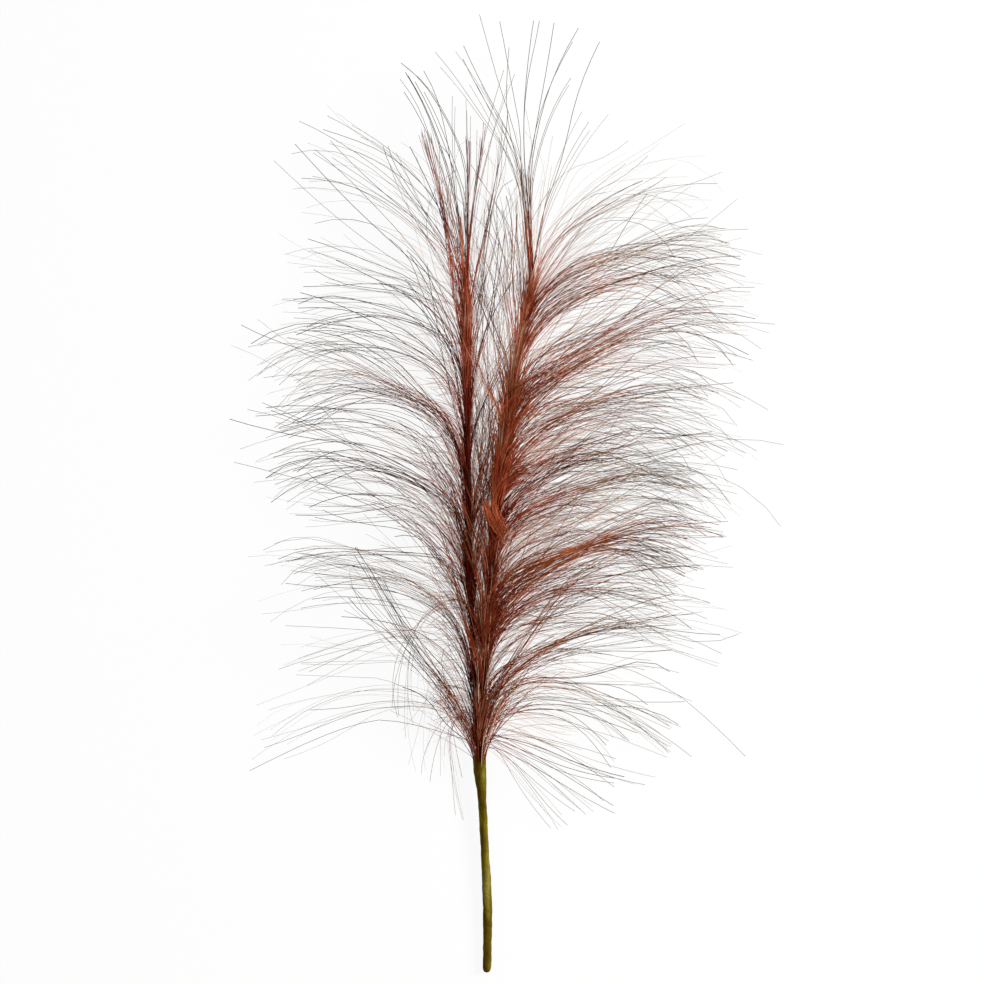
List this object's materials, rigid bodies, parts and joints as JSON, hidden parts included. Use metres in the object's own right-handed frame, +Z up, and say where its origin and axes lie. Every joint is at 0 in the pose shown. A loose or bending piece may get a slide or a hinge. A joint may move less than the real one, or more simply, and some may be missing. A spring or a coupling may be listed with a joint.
{
  "type": "artificial pampas grass pick",
  "caption": "Artificial pampas grass pick lying on its side: two plumes of long arching filament on wires, joined in one taped stem.",
  "frame": {"origin": "middle of the pick's box, on the surface that it lies on", "axes": "+Y along the pick from the stem's end to the tips, +X to the right of it, +Z up from the surface"},
  "size_m": [0.3316, 0.61, 0.1056],
  "materials": {
    "olive_tape": "matte",
    "steel_wire": "satin",
    "dark_winding": "matte",
    "rust_winding": "matte",
    "burgundy_filament": "satin",
    "rust_filament": "satin"
  },
  "bodies": {
    "root": {"stem_tape": "olive_tape", "left_spike_wire": "steel_wire", "right_spike_wire": "steel_wire", "left_spike_binding": "dark_winding", "right_spike_binding": "rust_winding", "left_side_tuft_01": "burgundy_filament", "left_side_tuft_02": "burgundy_filament", "left_side_tuft_03": "burgundy_filament", "left_side_tuft_04": "burgundy_filament", "left_side_tuft_05": "burgundy_filament", "left_side_tuft_06": "burgundy_filament", "left_side_tuft_07": "burgundy_filament", "left_side_tuft_08": "burgundy_filament", "left_side_tuft_09": "burgundy_filament", "left_side_tuft_10": "burgundy_filament", "left_front_tuft_01": "burgundy_filament", "left_front_tuft_02": "burgundy_filament", "left_front_tuft_03": "burgundy_filament", "left_front_tuft_04": "burgundy_filament", "left_inner_tuft_01": "burgundy_filament", "left_inner_tuft_02": "burgundy_filament", "left_inner_tuft_03": "burgundy_filament", "left_tip_tuft": "burgundy_filament", "right_side_tuft_01": "rust_filament", "right_side_tuft_02": "rust_filament", "right_side_tuft_03": "rust_filament", "right_side_tuft_04": "rust_filament", "right_side_tuft_05": "rust_filament", "right_side_tuft_06": "rust_filament", "right_side_tuft_07": "rust_filament", "right_side_tuft_08": "rust_filament", "right_side_tuft_09": "rust_filament", "right_side_tuft_10": "rust_filament", "right_side_tuft_11": "rust_filament", "right_front_tuft_01": "rust_filament", "right_front_tuft_02": "rust_filament", "right_front_tuft_03": "rust_filament", "right_front_tuft_04": "rust_filament", "right_front_tuft_05": "rust_filament", "right_inner_tuft_01": "rust_filament", "right_inner_tuft_02": "rust_filament", "right_inner_tuft_03": "rust_filament", "right_tip_tuft": "rust_filament"}
  },
  "joints": []
}
